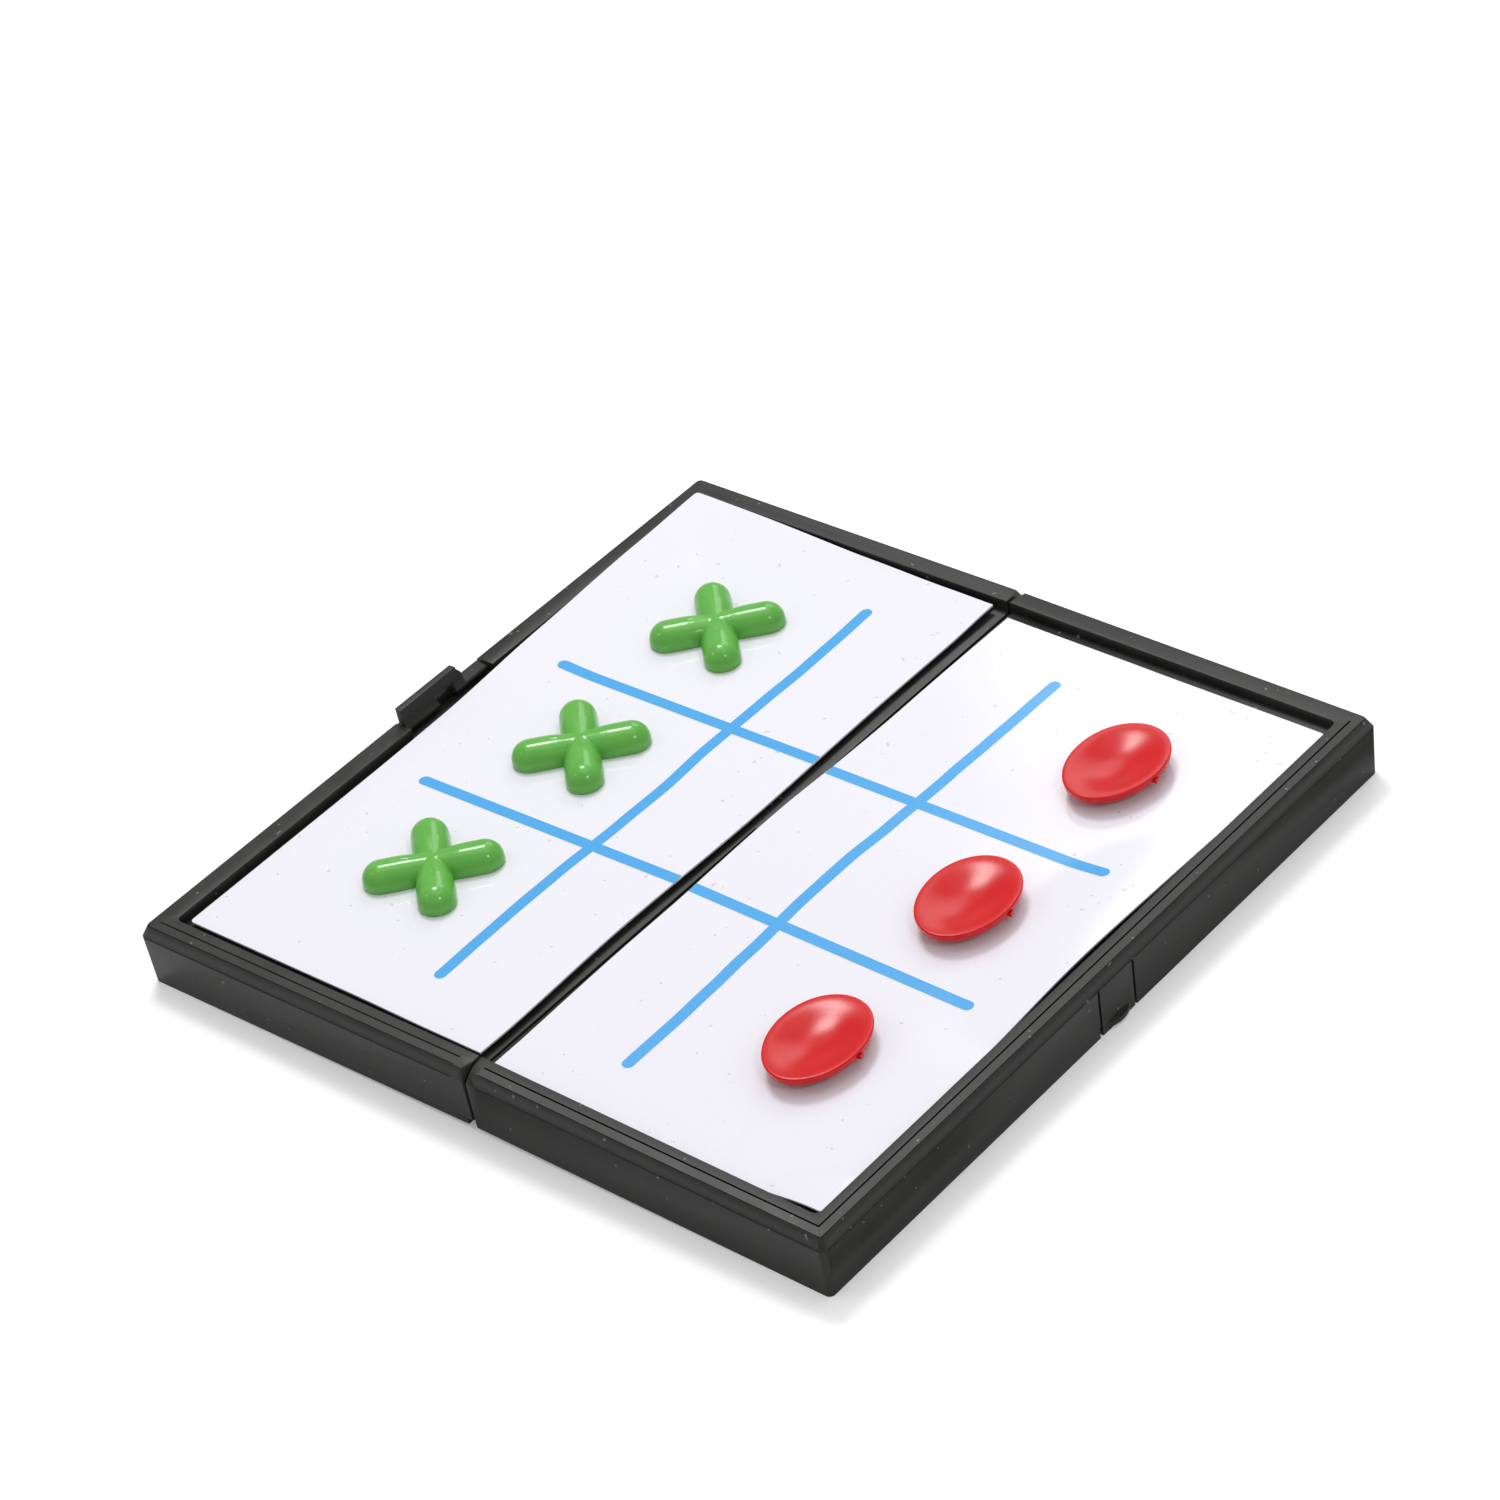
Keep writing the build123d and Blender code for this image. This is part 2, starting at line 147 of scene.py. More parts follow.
def enamelledSheet():
    # thin steel sheet with a white gloss enamel: almost flat, with a faint long wave from rolling
    material, tree, shader, coords = newMaterial("whiteEnamelledSteelSheet")
    p = whiteEnamel
    speck = noise(tree, coords, p["speckMm"], 2.0)
    colour = twoTone(tree, speck, p["tones"])
    tree.links.new(dusted(tree, coords, colour, p["dust"]), shader.inputs["Base Color"])
    fine = bumped(tree, speck, *p["speckBump"])
    wave = noise(tree, coords, p["waveMm"], 1.0)
    tree.links.new(bumped(tree, wave, *p["waveBump"], under=fine), shader.inputs["Normal"])
    shader.inputs["Roughness"].default_value = p["roughness"]
    shader.inputs["IOR"].default_value = p["ior"]
    return material


blueInk = {"tones": ("#46A2E0", "#50AAE8"), "mottleMm": 0.8, "roughness": 0.2}


def printedBlueInk():
    # blue ink on the enamel, with the slight mottle of a screen print
    material, tree, shader, coords = newMaterial("screenPrintedBlueInk")
    p = blueInk
    colour = twoTone(tree, noise(tree, coords, p["mottleMm"], 2.0), p["tones"])
    tree.links.new(colour, shader.inputs["Base Color"])
    shader.inputs["Roughness"].default_value = p["roughness"]
    return material


def cloudyPlastic(name, p):
    # polystyrene with a slightly uneven colour and a surface that is not quite smooth
    material, tree, shader, coords = newMaterial(name)
    cloud = noise(tree, coords, p["cloudMm"], p["cloudDetail"])
    tree.links.new(twoTone(tree, cloud, p["tones"]), shader.inputs["Base Color"])
    ripple = noise(tree, coords, p["rippleMm"], 2.0)
    tree.links.new(bumped(tree, ripple, *p["rippleBump"]), shader.inputs["Normal"])
    shader.inputs["Roughness"].default_value = p["roughness"]
    shader.inputs["IOR"].default_value = p["ior"]
    return material, shader


greenPlastic = {"tones": ("#56A83A", "#68B64B"), "cloudMm": 2.5, "cloudDetail": 3.0,
                "rippleMm": 0.5, "rippleBump": (0.25, 0.03), "roughness": 0.2, "ior": 1.52}


def mouldedGreenPlastic():
    return cloudyPlastic("mouldedGreenPolystyrene", greenPlastic)[0]


redPlastic = {"tones": ("#C60A0E", "#D61216"), "cloudMm": 3.0, "cloudDetail": 4.0,
              "rippleMm": 0.3, "rippleBump": (0.3, 0.03), "roughness": 0.22, "ior": 1.37,
              "scatter": 0.3, "scatterRadius": (1.0, 0.12, 0.08), "scatterMm": 1.2}


def mouldedRedPlastic():
    material, shader = cloudyPlastic("mouldedRedPolystyrene", redPlastic)
    # a little red light passes through the thin rim
    shader.inputs["Subsurface Weight"].default_value = redPlastic["scatter"]
    shader.inputs["Subsurface Radius"].default_value = redPlastic["scatterRadius"]
    shader.inputs["Subsurface Scale"].default_value = redPlastic["scatterMm"] * mm
    return material


steelWire = {"tone": "#B4B4B6", "lineMm": 0.1, "stretch": (1.0, 0.02, 1.0), "roughness": (0.22, 0.42)}


def drawnSteel():
    # drawn steel wire: fine lines along its length
    material, tree, shader, coords = newMaterial("drawnSteelWire")
    p = steelWire
    stretched = addNode(tree, "ShaderNodeMapping", Vector=coords, Scale=p["stretch"])
    lines = noise(tree, stretched.outputs["Vector"], p["lineMm"], 2.0)
    rough = addNode(tree, "ShaderNodeMapRange", Value=lines,
                    To_Min=p["roughness"][0], To_Max=p["roughness"][1])
    tree.links.new(rough.outputs["Result"], shader.inputs["Roughness"])
    shader.inputs["Base Color"].default_value = linear(p["tone"])
    shader.inputs["Metallic"].default_value = 1.0
    return material


ferrite = {"tones": ("#26262A", "#3C3C40"), "pitMm": 0.25, "pitBump": (0.4, 0.03), "roughness": 0.6}


def sinteredFerrite():
    # sintered ferrite magnet: dark grey, dry, with fine pits
    material, tree, shader, coords = newMaterial("sinteredFerrite")
    p = ferrite
    pits = noise(tree, coords, p["pitMm"], 3.0)
    tree.links.new(twoTone(tree, pits, p["tones"]), shader.inputs["Base Color"])
    tree.links.new(bumped(tree, pits, *p["pitBump"]), shader.inputs["Normal"])
    shader.inputs["Roughness"].default_value = p["roughness"]
    return material


finishes = {
    "case_plastic": mouldedBlackPlastic(),
    "pin_steel": drawnSteel(),
    "sheet_white": enamelledSheet(),
    "print_blue": printedBlueInk(),
    "cross_green": mouldedGreenPlastic(),
    "nought_red": mouldedRedPlastic(),
    "magnet_ferrite": sinteredFerrite(),
}
slotOf = {s["node"]: s["material_slot"] for s in frame["record"]["subparts"]}
bodyOf = {n: b for b, nodes in frame["record"]["behaviour"]["bodies"].items() for n in nodes}
for nodeName, node in frame["nodes"].items():
    node.data.materials.clear()
    node.data.materials.append(finishes[slotOf[nodeName]])
print("materials made")


def finishPiece(piece, *nodeNames):
    # rides with the body of the nodes that it stands for
    piece.data.materials.clear()
    piece.data.materials.append(finishes[slotOf[nodeNames[0]]])
    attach(piece, bodyOf[nodeNames[0]])
    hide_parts(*nodeNames)


def applied(piece):
    # the evaluated result as a plain mesh, with the modifiers gone
    bpy.context.view_layer.update()
    mesh = bpy.data.meshes.new_from_object(piece.evaluated_get(bpy.context.evaluated_depsgraph_get()))
    piece.modifiers.clear()
    piece.data = mesh


def newObject(name, bm):
    mesh = bpy.data.meshes.new(name)
    bm.to_mesh(mesh)
    bm.free()
    piece = bpy.data.objects.new(name, mesh)
    bpy.context.scene.collection.objects.link(piece)
    return piece


def smoothed(piece, sharpDegrees):
    # smooth shading, with every edge over this angle left sharp
    for face in piece.data.polygons:
        face.use_smooth = True
    piece.data.set_sharp_from_angle(angle=math.radians(sharpDegrees))


def placedCopy(source, name, matrix):
    # copy of a piece modelled at the origin, with its place applied to the mesh
    piece = bpy.data.objects.new(name, source.data.copy())
    bpy.context.scene.collection.objects.link(piece)
    piece.data.transform(matrix)
    return piece


def ringSolid(bm, rings):
    # closes a stack of rings, each a list of points, from the lowest to the highest
    loops = [[bm.verts.new(p) for p in ring] for ring in rings]
    count = len(loops[0])
    for a, b in zip(loops, loops[1:]):
        for i in range(count):
            j = (i + 1) % count
            bm.faces.new((a[i], a[j], b[j], b[i]))
    bm.faces.new(list(reversed(loops[0])))
    bm.faces.new(loops[-1])


# Trays and clasp
mouldedEdges = {"case_left": 0.2, "case_right": 0.2, "clasp": 0.28, "steps": 3,
                "bevelDegrees": 24, "sharpDegrees": 35, "flatDegrees": 0.4, "weld": 0.002}
# the band and the crown have their height in the CAD, and how much higher they are
rimAsMoulded = {"band": (10.2, 0.12), "crown": (10.4, 0.08), "sameHeight": 0.02, "halfWidth": 60.0}
# how far the walls stand out; a far wall drifts outwards from start on, by its full amount over run
outOfSquare = {"leftOuter": 0.15, "leftFar": 0.3, "rightFar": 0.45, "outerWall": 63, "start": 5, "run": 60}
foldStrip = {"top": 8.35, "clear": 20.0, "low": -1.0, "high": 1.75, "halfLength": 60.8}
claspTab = {"low": 11.9, "lift": 0.8, "outward": 0.15, "base": 10.0, "nearEnd": -7.0, "longer": 1.2,
            "farEnd": 4.0, "shorter": 0.8}
rimLines = {"start": 2.2, "size": 0.15, "lines": [(2.5, 10.46), (1.0, 10.26), (0.03, 8.6)]}   # inset, height


def reshaped(bm, matrix, rule):
    # moves each vertex by a rule given in mm in the tray's own frame
    back = matrix.inverted()
    for v in bm.verts:
        v.co = matrix @ (rule(back @ v.co / mm) * mm)


def higherRim(p):
    # the band and the crown stand a little higher than in the CAD, and the band a little further out
    for part in ("band", "crown"):
        height, lift = rimAsMoulded[part]
        if abs(p.z - height) < rimAsMoulded["sameHeight"]:
            p.z += lift
            if part == "band":
                for axis in (0, 1):
                    if abs(p[axis]) > rimAsMoulded["halfWidth"]:
                        p[axis] += math.copysign(lift, p[axis])
    # the photographed trays are not quite square
    if p.x < -outOfSquare["outerWall"]:
        p.x -= outOfSquare["leftOuter"]
    if p.y > rimAsMoulded["halfWidth"] and abs(p.x) > outOfSquare["start"]:
        drift = outOfSquare["rightFar"] if p.x > 0 else outOfSquare["leftFar"]
        p.y += drift * (abs(p.x) - outOfSquare["start"]) / outOfSquare["run"]
    return p


def tallerTab(p):
    if p.z > claspTab["low"]:
        p.z += claspTab["lift"]
        p.x -= claspTab["outward"]
    if p.z > claspTab["base"] and p.y < claspTab["nearEnd"]:
        p.y -= claspTab["longer"]
    if p.z > claspTab["low"] and p.y > claspTab["farEnd"]:
        p.y -= claspTab["shorter"]
    return p


def rimLineCutter(side, inset, height):
    # for the thin line moulded along a tray's near side, and on the right tray along its outer side too
    x, y, r = side * (fold["halfLength"] - inset), fold["halfWidth"] - inset, rimLines["size"]
    path = [((side * rimLines["start"], -y), (0, -1)), ((x, -y), (side, -1))]
    if side > 0:
        path.append(((x, y), (side, 0)))
    rings = []
    for (px, py), (nx, ny) in path:
        corners = ((px + nx * r, py + ny * r, height), (px, py, height + r),
                   (px - nx * r, py - ny * r, height), (px, py, height - r))
        rings.append([trayMatrix(side) @ (Vector(q) * mm) for q in corners])
    bm = bmesh.new()
    ringSolid(bm, rings)
    bmesh.ops.recalc_face_normals(bm, faces=bm.faces)
    return newObject("lineCutter", bm)


def cutBy(piece, cutter):
    cut = piece.modifiers.new("cut", "BOOLEAN")
    cut.operation, cut.solver, cut.object = "DIFFERENCE", "EXACT", cutter
    applied(piece)
    bpy.data.objects.remove(cutter)


def box(low, high, matrix):
    bm = bmesh.new()
    bmesh.ops.create_cube(bm, size=1.0)
    for v in bm.verts:
        v.co = matrix @ (Vector([(a + b) / 2 + c * (b - a) for a, b, c in zip(low, high, v.co)]) * mm)
    return newObject("cutter", bm)


def softenedCopy(nodeName, pieceName, rule, side, cutter=None, lines=()):
    # welded copy of a moulding with the small radii that its mould has
    e = mouldedEdges
    bm = bmesh.new()
    bm.from_mesh(frame["nodes"][nodeName].data)
    bmesh.ops.remove_doubles(bm, verts=bm.verts, dist=e["weld"] * mm)
    bmesh.ops.dissolve_degenerate(bm, dist=e["weld"] * mm, edges=bm.edges)
    bmesh.ops.dissolve_limit(bm, angle_limit=math.radians(e["flatDegrees"]), verts=bm.verts, edges=bm.edges)
    reshaped(bm, trayMatrix(side), rule)
    piece = newObject(pieceName, bm)
    if cutter:
        cutBy(piece, cutter)
    bevel = piece.modifiers.new("mouldRadii", "BEVEL")
    bevel.width, bevel.segments = e[nodeName] * mm, e["steps"]
    bevel.limit_method, bevel.angle_limit = "ANGLE", math.radians(e["bevelDegrees"])
    bevel.miter_outer = "MITER_ARC"
    applied(piece)
    for line in lines:
        cutBy(piece, line)
    smoothed(piece, e["sharpDegrees"])
    finishPiece(piece, nodeName)


for side, nodeName, pieceName in ((-1, "case_left", "leftTray"), (1, "case_right", "rightTray")):
    # the walls beside the fold stay low
    x0, x1 = sorted((side * foldStrip["low"], side * foldStrip["high"]))
    y = foldStrip["halfLength"]
    cutter = box((x0, -y, foldStrip["top"]), (x1, y, foldStrip["clear"]), trayMatrix(side))
    lines = [rimLineCutter(side, inset, height) for inset, height in rimLines["lines"]]
    softenedCopy(nodeName, pieceName, higherRim, side, cutter, lines)
softenedCopy("clasp", "swingClasp", tallerTab, -1)
print("trays and clasp made")

# Play sheets and their print
# Each edge is a list of stations along it, in mm in the tray's frame, read at the height the sheet has there.
sheets = {
    "thickness": 0.3, "printLift": 0.03, "blend": 0.2, "corner": 0.6, "length": 119.5, "sharpDegrees": 40,
    "columns": 60, "rows": 110,
    -1: {"level": 9.2,
         "fold": [(-60, -1.1), (-54, -1.0), (-29, -1.5), (1.5, -0.85), (32, -1.2), (60, -1.05)],
         "outer": [(-60, -60.5), (-28, -60.5), (-3.5, -60.55), (21, -61.3), (45, -61.9), (61, -62.3)],
         "near": [(-62, -59.25), (-28, -59.27), (-10, -59.5), (-1, -59.55)],
         "far": [(-62, 60.6), (-52, 60.5), (-28, 60.34), (-10, 59.84), (-1, 59.7)]},
    1: {"level": 8.75,
        "fold": [(-60, 1.65), (-54, 1.75), (-29, 1.48), (1.5, 1.22), (32, 2.17), (59, 2.15)],
        "outer": [(-60, 61.8), (-45, 61.2), (-30, 60.9), (-4, 60.7), (21, 61.1), (45, 60.9), (59, 60.9)],
        "near": [(1, -59.9), (30, -60.1), (62, -59.9)],
        "far": [(1, 58.85), (30, 59.0), (61, 59.25)]},
}
bends = {   # mm: height, centre x, centre y, reach in x and in y
    -1: [(0.4, -20, 60, 400, 14), (1.5, -62.3, 60.6, 24, 95), (1.5, -62.3, 60.6, 55, 24)],
    1: [(0.45, 30, -36, 400, 42), (0.45, 30, 0, 400, 42), (0.45, 30, 33, 400, 42), (1.35, 61.2, 8, 24, 44),
        (1.25, 61.8, -59.9, 14, 14)],
}


def bendTree(side):
    # lifts the sheet by smooth humps, each one a rule of its own height, place and reach
    tree = bpy.data.node_groups.new("sheetBend", "GeometryNodeTree")
    face = tree.interface
    face.new_socket(name="Geometry", in_out="INPUT", socket_type="NodeSocketGeometry")
    face.new_socket(name="Geometry", in_out="OUTPUT", socket_type="NodeSocketGeometry")
    inputs = addNode(tree, "NodeGroupInput")
    outputs = addNode(tree, "NodeGroupOutput")
    position = addNode(tree, "GeometryNodeInputPosition")
    total = None
    for i in range(len(bends[side])):
        height = face.new_socket(name=f"Height {i}", in_out="INPUT", socket_type="NodeSocketFloat")
        centre = face.new_socket(name=f"Centre {i}", in_out="INPUT", socket_type="NodeSocketVector")
        reach = face.new_socket(name=f"Reach {i}", in_out="INPUT", socket_type="NodeSocketVector")
        away = addNode(tree, "ShaderNodeVectorMath", {"operation": "SUBTRACT"}, i0=position.outputs[0],
                       i1=inputs.outputs[centre.name])
        share = addNode(tree, "ShaderNodeVectorMath", {"operation": "DIVIDE"}, i0=away.outputs[0],
                        i1=inputs.outputs[reach.name])
        length = addNode(tree, "ShaderNodeVectorMath", {"operation": "LENGTH"}, i0=share.outputs[0])
        smooth = addNode(tree, "ShaderNodeMapRange", {"interpolation_type": "SMOOTHERSTEP"},
                         Value=length.outputs["Value"], From_Min=0.0, From_Max=1.0, To_Min=1.0, To_Max=0.0)
        hump = addNode(tree, "ShaderNodeMath", {"operation": "MULTIPLY"}, i0=smooth.outputs["Result"],
                       i1=inputs.outputs[height.name])
        if total is None:
            total = hump.outputs[0]
        else:
            # the higher of the two lifts, with a soft change from one to the other
            total = addNode(tree, "ShaderNodeMath", {"operation": "SMOOTH_MAX"}, i0=total, i1=hump.outputs[0],
                            i2=sheets["blend"] * mm).outputs[0]
    lift = addNode(tree, "ShaderNodeCombineXYZ", Z=total)
    move = addNode(tree, "GeometryNodeSetPosition", Geometry=inputs.outputs["Geometry"],
                   Offset=lift.outputs[0])
    material = face.new_socket(name="Material", in_out="INPUT", socket_type="NodeSocketMaterial")
    real = addNode(tree, "GeometryNodeRealizeInstances", Geometry=move.outputs[0])
    coat = addNode(tree, "GeometryNodeSetMaterial", Geometry=real.outputs[0],
                   Material=inputs.outputs[material.name])
    tree.links.new(coat.outputs[0], outputs.inputs[0])
    return tree


def setInputs(modifier, tree, values):
    for item in tree.interface.items_tree:
        if item.in_out == "INPUT" and item.name in values:
            modifier[item.identifier] = values[item.name]


def bend(piece, side, finish):
    # bends a flat piece as its sheet is bent, and sets it in its place on the tray
    tree = bendTree(side)
    modifier = piece.modifiers.new("bend", "NODES")
    modifier.node_group = tree
    values = {"Material": finishes[finish]}
    for i, (height, x, y, rx, ry) in enumerate(bends[side]):
        values[f"Height {i}"] = height * mm
        values[f"Centre {i}"] = (x * mm, y * mm, sheets[side]["level"] * mm)
        values[f"Reach {i}"] = (rx * mm, ry * mm, 1.0)
    setInputs(modifier, tree, values)
    applied(piece)
    piece.data.transform(trayMatrix(side))


def station(points, t):
    # value of an edge at t, eased from one station to the next
    if t <= points[0][0]:
        return points[0][1]
    for (t0, v0), (t1, v1) in zip(points, points[1:]):
        if t <= t1:
            share = (t - t0) / (t1 - t0)
            return v0 + (v1 - v0) * (3 - 2 * share) * share * share
    return points[-1][1]


def sheetPoint(side, u, v):
    # u runs from the fold edge outwards and v from the near edge to the far one, both 0 to 1
    s = sheets[side]
    y = s["near"][0][1] + (s["far"][0][1] - s["near"][0][1]) * v
    x = 0.0
    for _ in range(3):
        x = station(s["fold"], y) * (1 - u) + station(s["outer"], y) * u
        y = station(s["near"], x) * (1 - v) + station(s["far"], x) * v
    return x, y


def playSheet(side):
    columns, rows, corner = sheets["columns"], sheets["rows"], sheets["corner"]
    bm = bmesh.new()
    layers = []
    for level in (sheets[side]["level"], sheets[side]["level"] + sheets["thickness"]):
        grid = []
        for j in range(rows + 1):
            v = 0.5 - 0.5 * cos(pi * j / rows)   # closer together towards the ends
            # rounded outer corners: the outer edge is pulled in near both ends
            short = max(0.0, corner - min(v, 1 - v) * sheets["length"])
            pull = corner - math.sqrt(corner ** 2 - short ** 2)
            row = []
            for i in range(columns + 1):
                x, y = sheetPoint(side, i / columns, v)
                x -= side * pull * i / columns
                row.append(bm.verts.new((x * mm, y * mm, level * mm)))
            grid.append(row)
        layers.append(grid)
    bottom, top = layers
    for j in range(rows):
        for i in range(columns):
            for layer in layers:
                bm.faces.new((layer[j][i], layer[j][i + 1], layer[j + 1][i + 1], layer[j + 1][i]))
    for i in range(columns):
        for j in (0, rows):
            bm.faces.new((bottom[j][i], bottom[j][i + 1], top[j][i + 1], top[j][i]))
    for j in range(rows):
        for i in (0, columns):
            bm.faces.new((bottom[j][i], bottom[j + 1][i], top[j + 1][i], top[j][i]))
    bmesh.ops.recalc_face_normals(bm, faces=bm.faces)
    piece = newObject("leftPlaySheet" if side < 0 else "rightPlaySheet", bm)
    bend(piece, side, "sheet_white")
    smoothed(piece, sheets["sharpDegrees"])
    finishPiece(piece, "play_sheet_left" if side < 0 else "play_sheet_right")


# Lines printed on the sheets: "long" has x at stations in y, and "cross" has y at the fold, then y and x
# at the other end
gridPrint = {
    "width": 1.95, "foldGap": 0.05, "capSteps": 10, "step": 1.0, "probe": 0.01, "weld": 0.001,
    -1: {"long": [(-50.5, -18.1), (-40, -18.3), (-32, -18.4), (-24, -18.3), (-10, -17.7), (0, -17.5),
                  (10, -17.9), (24, -17.75), (32, -17.55), (40, -17.65), (50.0, -17.9)],
         "cross": [(-15.9, -16.6, -52.8), (16.15, 15.8, -52.9)]},
    1: {"long": [(-51.1, 18.5), (-40, 18.6), (-32, 18.4), (-24, 18.05), (-10, 17.45), (0, 17.45),
                 (10, 17.97), (24, 18.45), (32, 18.72), (40, 18.87), (49.6, 18.9)],
        "cross": [(-15.95, -15.95, 53.3), (15.5, 16.65, 52.9)]},
}


def printedStrip(bm, path, length, roundStart, roundEnd, level):
    # flat strip along a path, with rounded or square ends, cut fine enough to follow the sheet
    half = gridPrint["width"] / 2
    count = round(length / gridPrint["step"])
    stops = [i * length / count for i in range(count + 1)]
    caps = [half * (1 - cos(pi / 2 * k / gridPrint["capSteps"])) for k in range(gridPrint["capSteps"])]
    stops += (caps if roundStart else []) + ([length - c for c in caps] if roundEnd else [])
    previous = None
    for d in sorted(set(round(v, 5) for v in stops)):
        w = half
        for fromEnd, isRound in ((d, roundStart), (length - d, roundEnd)):
            if isRound and fromEnd < half:
                w = math.sqrt(max(1e-6, half ** 2 - (half - fromEnd) ** 2))
        centre = path(d)
        along = (path(d + gridPrint["probe"]) - path(d - gridPrint["probe"])).normalized()
        across = Vector((-along.y, along.x))
        pair = [bm.verts.new((*((centre + across * w * s) * mm), level * mm)) for s in (-1, 0, 1)]
        if previous:
            for k in (0, 1):
                bm.faces.new((previous[k], pair[k], pair[k + 1], previous[k + 1]))
        previous = pair


def printedGrid(side):
    g = gridPrint[side]
    level = sheets[side]["level"] + sheets["thickness"] + sheets["printLift"]
    bm = bmesh.new()
    low, high = g["long"][0][0], g["long"][-1][0]
    printedStrip(bm, lambda d: Vector((station(g["long"], low + d), low + d)), high - low,
                 True, True, level)
    half = gridPrint["width"] / 2
    for yFold, yEnd, xEnd in g["cross"]:
        xFold = station(sheets[side]["fold"], yFold) + side * gridPrint["foldGap"]
        slope = (yEnd - yFold) / (xEnd - xFold)
        x = station(g["long"], yFold)
        # the crossing is left out of the second line, so that no two faces lie in one place
        for start, end, isRound in ((xFold, x - side * half, False), (x + side * half, xEnd, True)):
            printedStrip(bm, lambda d: Vector((start + side * d, yFold + slope * (start + side * d - xFold))),
                         abs(end - start), False, isRound, level)
    bmesh.ops.remove_doubles(bm, verts=bm.verts, dist=gridPrint["weld"] * mm)
    for face in bm.faces:
        if face.normal.z < 0:
            face.normal_flip()
    piece = newObject("leftPrint" if side < 0 else "rightPrint", bm)
    bend(piece, side, "print_blue")
    for face in piece.data.polygons:
        face.use_smooth = True
    finishPiece(piece, "grid_print_left" if side < 0 else "grid_print_right")


for side in (-1, 1):
    playSheet(side)
    printedGrid(side)
print("play sheets made")

# Crosses; heights are above the board, which is the top of the CAD's sheet
crossShape = {
    "length": 21.5, "width": 5.9, "height": 4.2, "skirt": 0.9, "skirtInset": 0.15, "round": 2.85,
    "barBelow": 0.3, "footBelow": 0.1, "capSteps": 16, "topSteps": 12, "voxel": 0.12, "softening": 1,
    "waist": 0.8, "waistReach": 5.0, "waistSteps": 14, "sharpDegrees": 45, "board": 9.0, "foot": 0.54,
    "spots": {"far": (-35.55, 34.0, 0.7), "middle": (-34.55, 0.45, 0.1), "near": (-35.1, -32.5, 1.5)},
}


def stadium(length, width, z, steps, straightSteps=1):
    # two half circles joined by straight sides, which may have points along them too
    r, straight = width / 2, (length - width) / 2
    points = []
    for sign, start in ((1, -pi / 2), (-1, pi / 2)):
        for k in range(steps + 1):
            a = start + pi * k / steps
            points.append((sign * straight + r * cos(a), r * sin(a), z))
        for k in range(1, straightSteps):
            points.append((sign * straight * (1 - 2 * k / straightSteps), sign * r, z))
    return [Vector(p) * mm for p in points]


def crossBar():
    # one bar of a cross, round on top; it starts below the parting line, where the foot overlaps it
    c = crossShape
    bottom, shoulder = c["skirt"] - c["barBelow"], c["height"] - c["round"]
    levels = [(0.0, bottom)]
    for k in range(c["topSteps"] + 1):
        a = pi / 2 * k / c["topSteps"]
        levels.append((c["round"] * (1 - cos(a)), shoulder + c["round"] * sin(a)))
    bm = bmesh.new()
    ringSolid(bm, [stadium(c["length"] - 2 * inset, c["width"] - 2 * inset, z, c["capSteps"], c["waistSteps"])
                   for inset, z in levels])
    low = bottom * mm
    for v in bm.verts:   # each arm swells from a narrower and lower waist
        share = min(1.0, abs(v.co.x / mm) / c["waistReach"])
        size = c["waist"] + (1 - c["waist"]) * share * share * (3 - 2 * share)
        v.co.y *= size
        v.co.z = low + (v.co.z - low) * (0.5 + 0.5 * size)
    return newObject("crossBar", bm)


def crossTree():
    # the same bar set at each angle, joined into one solid
    tree = bpy.data.node_groups.new("crossOfBars", "GeometryNodeTree")
    face = tree.interface
    face.new_socket(name="Geometry", in_out="INPUT", socket_type="NodeSocketGeometry")
    count = face.new_socket(name="Bars", in_out="INPUT", socket_type="NodeSocketInt")
    turn = face.new_socket(name="First Angle", in_out="INPUT", socket_type="NodeSocketFloat")
    material = face.new_socket(name="Material", in_out="INPUT", socket_type="NodeSocketMaterial")
    face.new_socket(name="Geometry", in_out="OUTPUT", socket_type="NodeSocketGeometry")
    inputs = addNode(tree, "NodeGroupInput")
    outputs = addNode(tree, "NodeGroupOutput")
    points = addNode(tree, "GeometryNodePoints", Count=inputs.outputs[count.name])
    index = addNode(tree, "GeometryNodeInputIndex")
    part = addNode(tree, "ShaderNodeMath", {"operation": "DIVIDE"}, i0=pi, i1=inputs.outputs[count.name])
    angle = addNode(tree, "ShaderNodeMath", {"operation": "MULTIPLY_ADD"}, i0=index.outputs[0],
                    i1=part.outputs[0], i2=inputs.outputs[turn.name])
    euler = addNode(tree, "ShaderNodeCombineXYZ", Z=angle.outputs[0])
    spin = addNode(tree, "FunctionNodeEulerToRotation", Euler=euler.outputs[0])
    bars = addNode(tree, "GeometryNodeInstanceOnPoints", Points=points.outputs[0],
                   Instance=inputs.outputs["Geometry"], Rotation=spin.outputs[0])
    union = addNode(tree, "GeometryNodeMeshBoolean", {"operation": "UNION", "solver": "EXACT"})
    tree.links.new(bars.outputs[0], union.inputs["Mesh 2"])
    real = addNode(tree, "GeometryNodeRealizeInstances", Geometry=union.outputs["Mesh"])
    coat = addNode(tree, "GeometryNodeSetMaterial", Geometry=real.outputs[0],
                   Material=inputs.outputs[material.name])
    tree.links.new(coat.outputs[0], outputs.inputs[0])
    return tree


def moulding(piece, voxelMm, passes):
    # even fine mesh, then rounded valleys
    remesh = piece.modifiers.new("evenMesh", "REMESH")
    remesh.mode, remesh.voxel_size = "VOXEL", voxelMm * mm
    soften = piece.modifiers.new("soften", "SMOOTH")
    soften.factor, soften.iterations = 0.5, passes
    applied(piece)


